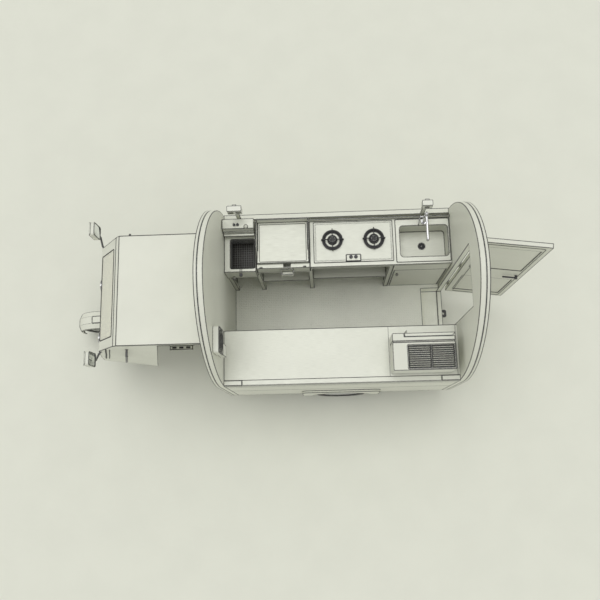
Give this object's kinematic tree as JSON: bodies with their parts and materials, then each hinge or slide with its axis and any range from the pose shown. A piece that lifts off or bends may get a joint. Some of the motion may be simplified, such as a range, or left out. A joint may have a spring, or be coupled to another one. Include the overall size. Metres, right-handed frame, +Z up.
{
  "type": "food truck",
  "caption": "Small three-wheeled street food vehicle with cab and kitchen, drawn with its roof lifted off: serving counter, fryer, griddle, gas hob, sink and open rear door",
  "frame": {"origin": "on the ground, under the middle of the box round the vehicle with its rear door open", "axes": "+X along the vehicle from the cab to the rear door, +Y across from the serving side to the kitchen side, +Z up"},
  "size_m": [4.48, 1.65, 2.45],
  "materials": {
    "body_paint": "satin gel coat",
    "body_trim": "satin",
    "frame_paint": "semi-gloss",
    "floor_sheet": "ply with a chequered facing",
    "stainless": "brushed",
    "cast_metal": "satin",
    "spring_steel": "oiled",
    "wheel_paint": "satin",
    "tyre_rubber": "matte",
    "clear_glass": "clear",
    "seat_vinyl": "grained",
    "dark_plastic": "moulded",
    "pale_plastic": "moulded",
    "wire_steel": "worn",
    "griddle_steel": "ground",
    "burner_iron": "matte",
    "tap_chrome": "polished",
    "oven_glass": "gloss"
  },
  "bodies": {
    "vehicle": {"chassis_frame": "frame_paint", "floor_pan": "floor_sheet", "front_end_wall": "body_paint", "rear_end_wall": "body_paint", "arch_rims": "body_trim", "serving_side_panel": "body_paint", "kitchen_side_panel": "body_paint", "sill_rail": "stainless", "rear_axle": "cast_metal", "leaf_springs": "spring_steel", "battery_pack": "dark_plastic", "cab_floor": "floor_sheet", "cab_nose": "body_paint", "cab_roof": "body_paint", "windscreen": "clear_glass", "seat_cushions": "seat_vinyl", "mirror_arms": "cast_metal", "lamps": "clear_glass", "grab_handles": "cast_metal", "fryer_body": "stainless", "fryer_head": "stainless", "griddle_body": "stainless", "griddle_plate": "griddle_steel", "worktop": "stainless", "hob_plate": "stainless", "burners": "burner_iron", "pan_supports": "burner_iron", "sink_bowl": "stainless", "tap_body": "tap_chrome", "kitchen_frame": "stainless", "sink_cabinet": "body_trim", "serving_counter": "stainless", "microwave_case": "body_trim", "wall_sockets": "pale_plastic", "extractor_housing": "pale_plastic"},
    "door": {"rear_door": "body_paint"},
    "door_lever": {"door_handle": "dark_plastic"},
    "left_rear_wheel": {"left_tyre": "tyre_rubber", "left_wheel": "wheel_paint"},
    "right_rear_wheel": {"right_tyre": "tyre_rubber", "right_wheel": "wheel_paint"},
    "steering": {"steering_fork": "cast_metal", "handlebar": "dark_plastic", "front_fender": "body_paint"},
    "front_wheel_set": {"front_tyre": "tyre_rubber", "front_wheel": "wheel_paint"},
    "mirror_left": {"left_mirror": "dark_plastic"},
    "mirror_right": {"right_mirror": "dark_plastic"},
    "basket": {"fryer_basket": "wire_steel"},
    "fryer_dial_left": {"fryer_knob_left": "dark_plastic"},
    "fryer_dial_right": {"fryer_knob_right": "dark_plastic"},
    "grease_tray": {"grease_drawer": "stainless"},
    "hob_dial_left": {"hob_knob_left": "dark_plastic"},
    "hob_dial_right": {"hob_knob_right": "dark_plastic"},
    "spout": {"tap_spout": "tap_chrome"},
    "tap_handle": {"tap_lever": "tap_chrome"},
    "sink_door": {"cabinet_door": "body_trim"},
    "oven_door": {"microwave_door": "oven_glass"},
    "oven_dial": {"microwave_knob": "dark_plastic"},
    "fan": {"extractor_fan": "dark_plastic"}
  },
  "joints": [
    {"name": "rear_door_hinge", "type": "hinge", "parent": "vehicle", "child": "door", "pos_m": [1.66, 0.28, 1.225], "axis": [0, 0, 1], "range_deg": [-82.5, 70]},
    {"name": "door_lever_turn", "type": "hinge", "parent": "door", "child": "door_lever", "pos_m": [2.17579, 0.19091, 1.19], "axis": [0.1305, 0.9914, 0], "range_deg": [-45, 0]},
    {"name": "left_wheel_spin", "type": "hinge", "parent": "vehicle", "child": "left_rear_wheel", "pos_m": [0.525, -0.7475, 0.265], "axis": [0, 1, 0], "continuous": true},
    {"name": "right_wheel_spin", "type": "hinge", "parent": "vehicle", "child": "right_rear_wheel", "pos_m": [0.525, 0.7475, 0.265], "axis": [0, 1, 0], "continuous": true},
    {"name": "steering_turn", "type": "hinge", "parent": "vehicle", "child": "steering", "pos_m": [-1.78961, 0, 0.62612], "axis": [0.4226, 0, 0.9063], "range_deg": [-35, 35]},
    {"name": "front_wheel_spin", "type": "hinge", "parent": "steering", "child": "front_wheel_set", "pos_m": [-1.965, 0, 0.25], "axis": [0, 1, 0], "continuous": true},
    {"name": "left_mirror_swivel", "type": "hinge", "parent": "vehicle", "child": "mirror_left", "pos_m": [-1.632, -0.56, 1.7], "axis": [0, 0, 1], "range_deg": [-30, 30]},
    {"name": "right_mirror_swivel", "type": "hinge", "parent": "vehicle", "child": "mirror_right", "pos_m": [-1.632, 0.56, 1.7], "axis": [0, 0, 1], "range_deg": [-30, 30]},
    {"name": "basket_lift", "type": "slide", "parent": "vehicle", "child": "basket", "axis": [0, 0, 1], "range_m": [0, 0.3]},
    {"name": "fryer_dial_left_turn", "type": "hinge", "parent": "vehicle", "child": "fryer_dial_left", "pos_m": [-0.417, 0.65, 1.523], "axis": [0, 0, 1], "range_deg": [-270, 0]},
    {"name": "fryer_dial_right_turn", "type": "hinge", "parent": "vehicle", "child": "fryer_dial_right", "pos_m": [-0.385, 0.65, 1.523], "axis": [0, 0, 1], "range_deg": [-270, 0]},
    {"name": "grease_tray_slide", "type": "slide", "parent": "vehicle", "child": "grease_tray", "axis": [0, -1, 0], "range_m": [0, 0.18]},
    {"name": "hob_dial_left_turn", "type": "hinge", "parent": "vehicle", "child": "hob_dial_left", "pos_m": [0.642, 0.354, 1.3703], "axis": [0, 0, 1], "range_deg": [0, 270]},
    {"name": "hob_dial_right_turn", "type": "hinge", "parent": "vehicle", "child": "hob_dial_right", "pos_m": [0.687, 0.354, 1.3703], "axis": [0, 0, 1], "range_deg": [0, 270]},
    {"name": "spout_swing", "type": "hinge", "parent": "vehicle", "child": "spout", "pos_m": [1.325, 0.672, 1.5623], "axis": [0, 0, 1], "range_deg": [-60, 45]},
    {"name": "tap_handle_turn", "type": "hinge", "parent": "vehicle", "child": "tap_handle", "pos_m": [1.282, 0.672, 1.4983], "axis": [1, 0, 0], "range_deg": [-30, 20]},
    {"name": "sink_door_hinge", "type": "hinge", "parent": "vehicle", "child": "sink_door", "pos_m": [1.53, 0.279, 0.8], "axis": [0, 0, 1], "range_deg": [0, 95]},
    {"name": "oven_door_hinge", "type": "hinge", "parent": "vehicle", "child": "oven_door", "pos_m": [1.486, -0.417, 1.489], "axis": [0, 0, 1], "range_deg": [-100, 0]},
    {"name": "oven_dial_turn", "type": "hinge", "parent": "vehicle", "child": "oven_dial", "pos_m": [1.023, -0.4, 1.452], "axis": [0, 1, 0], "range_deg": [0, 300]},
    {"name": "fan_spin", "type": "hinge", "parent": "vehicle", "child": "fan", "pos_m": [-0.5027, -0.47, 1.87], "axis": [1, 0, 0], "continuous": true}
  ]
}
